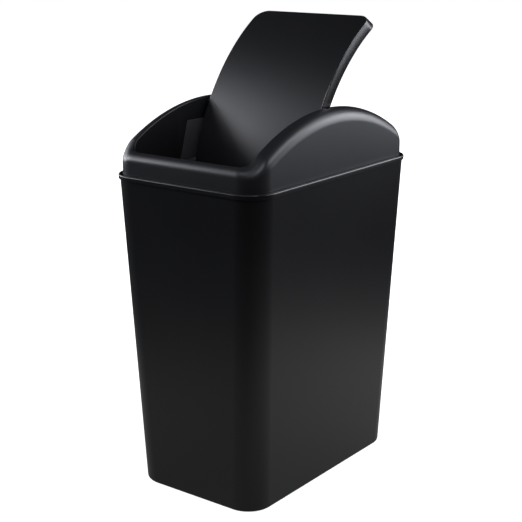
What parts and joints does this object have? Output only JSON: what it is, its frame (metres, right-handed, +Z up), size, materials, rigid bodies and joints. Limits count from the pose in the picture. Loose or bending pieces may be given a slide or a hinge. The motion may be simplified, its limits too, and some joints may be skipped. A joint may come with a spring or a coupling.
{
  "type": "countertop waste bin with swing lid",
  "caption": "Small upright waste bin with a tapered bucket, a vaulted lid frame that lifts off and a curved flap that swings both ways on two stub pins.",
  "frame": {"origin": "middle of the footprint, on the surface that the bin stands on", "axes": "+Z up, +Y towards the rear along the long side, +X across the narrow side; the flap's front edge, at -Y, is drawn swung down into the bin"},
  "size_m": [0.1424, 0.2118, 0.3618],
  "materials": {
    "black_plastic": "satin"
  },
  "bodies": {
    "bin": {"bucket": "black_plastic"},
    "lid": {"lid_frame": "black_plastic"},
    "flap": {"swing_flap": "black_plastic"}
  },
  "joints": [
    {"name": "lid_lift", "type": "slide", "parent": "bin", "child": "lid", "axis": [0, 0, 1], "range_m": [0, 0.1]},
    {"name": "flap_swing", "type": "hinge", "parent": "lid", "child": "flap", "pos_m": [0, 0, 0.2935], "axis": [1, 0, 0], "range_deg": [-150, 30]}
  ]
}
